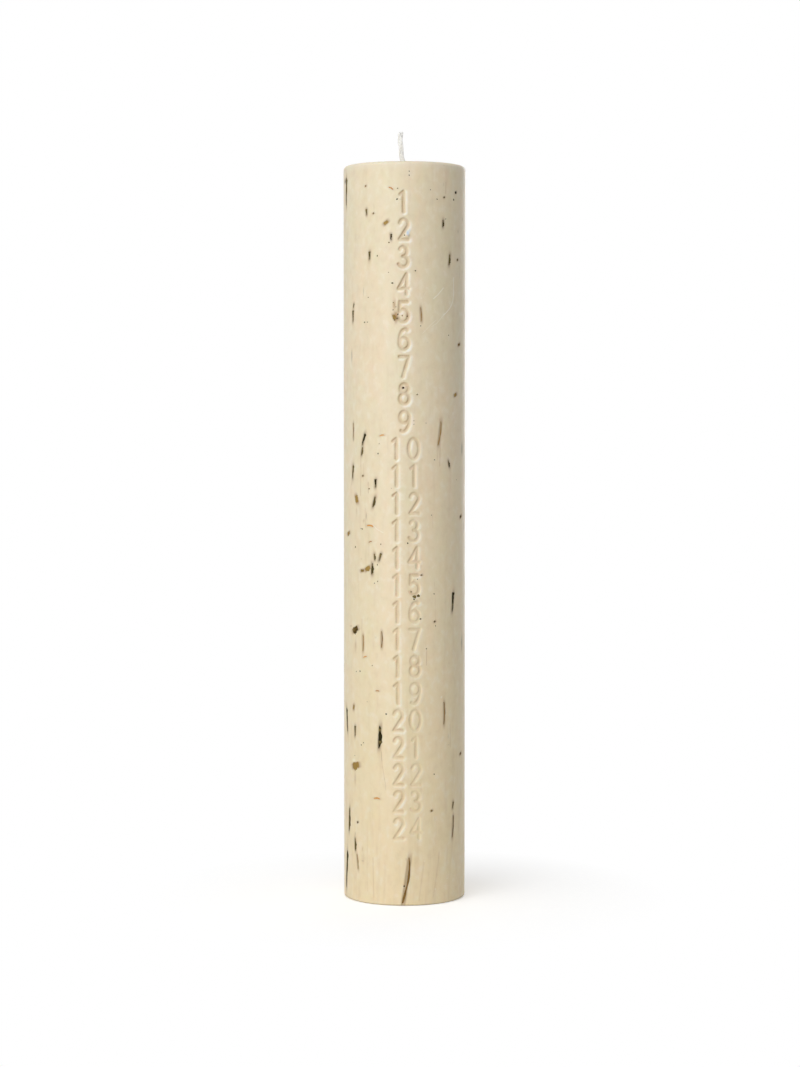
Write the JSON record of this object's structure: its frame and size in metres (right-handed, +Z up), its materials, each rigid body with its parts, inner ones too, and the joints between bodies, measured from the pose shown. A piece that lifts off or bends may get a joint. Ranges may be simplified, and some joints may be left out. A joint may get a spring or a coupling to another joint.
{
  "type": "calendar candle",
  "caption": "Tall cast pillar candle with the days of a calendar pressed down its front, plant crumbs in the wax and a braided wick.",
  "frame": {"origin": "centre of the base, on the candle's own axis, on the surface that it stands on", "axes": "+Z up along the candle towards the wick, -Y out of the numbered side, +X to the right of someone who reads the numbers"},
  "size_m": [0.05, 0.05, 0.3147],
  "materials": {
    "wax": "cast wax, satin",
    "cotton_wick": "braided cotton, waxed",
    "tinplate": "stamped tinplate",
    "dried_leaf": "dried leaf, matt",
    "dried_stem": "dried stem, matt",
    "bark": "bark crumb, matt",
    "dried_petal": "dried petal, matt",
    "seed": "seed, matt"
  },
  "bodies": {
    "root": {"wax_body": "wax", "wick": "cotton_wick", "wick_sustainer": "tinplate", "leaf_slivers": "dried_leaf", "stem_pieces": "dried_stem", "bark_crumbs": "bark", "petal_crumbs": "dried_petal", "seed_specks": "seed"}
  },
  "joints": []
}
